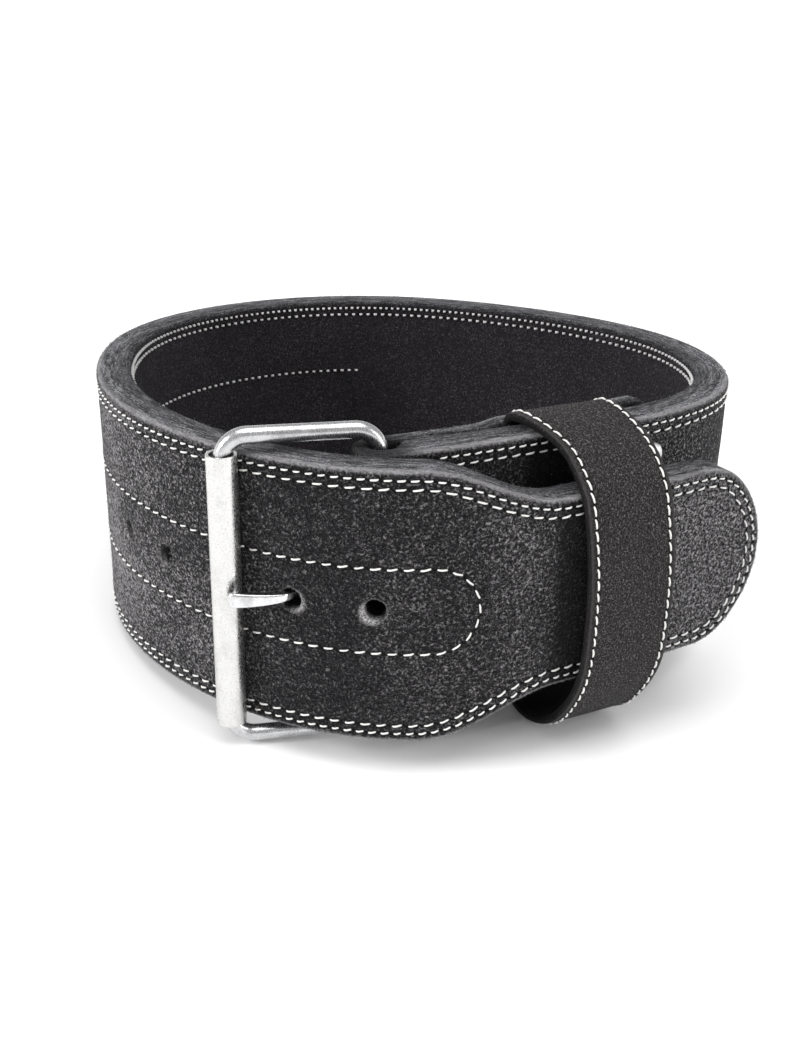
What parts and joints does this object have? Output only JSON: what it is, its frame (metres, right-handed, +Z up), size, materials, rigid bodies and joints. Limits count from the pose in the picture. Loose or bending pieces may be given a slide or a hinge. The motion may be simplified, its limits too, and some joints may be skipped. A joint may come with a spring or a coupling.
{
  "type": "weightlifting belt",
  "caption": "Fastened weightlifting belt of thick black suede leather with a single-prong roller buckle and a keeper loop that holds the tongue.",
  "frame": {"origin": "centre of the bottom of the bounding box, on the surface that the belt rests on", "axes": "+Z up, +Y from the buckle side to the back of the ring, +X to the right as seen from the buckle side"},
  "size_m": [0.2614, 0.2484, 0.1209],
  "materials": {
    "strap_suede": "napped black suede with burnished edges",
    "loop_suede": "fine black suede",
    "wire_steel": "bright plated wire",
    "roller_steel": "satin plated tube",
    "prong_steel": "bright plated, hammered flat at the tip",
    "rivet_steel": "bright plated"
  },
  "bodies": {
    "belt": {"strap": "strap_suede", "keeper_loop": "loop_suede", "buckle_frame": "wire_steel", "prong": "prong_steel", "rivet_upper_left": "rivet_steel", "rivet_lower_left": "rivet_steel", "rivet_upper_right": "rivet_steel", "rivet_lower_right": "rivet_steel"},
    "roller": {"roller": "roller_steel"}
  },
  "joints": [
    {"name": "roller_spin", "type": "hinge", "parent": "belt", "child": "roller", "pos_m": [-0.0623, -0.1091, 0.05999], "axis": [-0.05, 0.0416, 0.9979], "continuous": true}
  ]
}
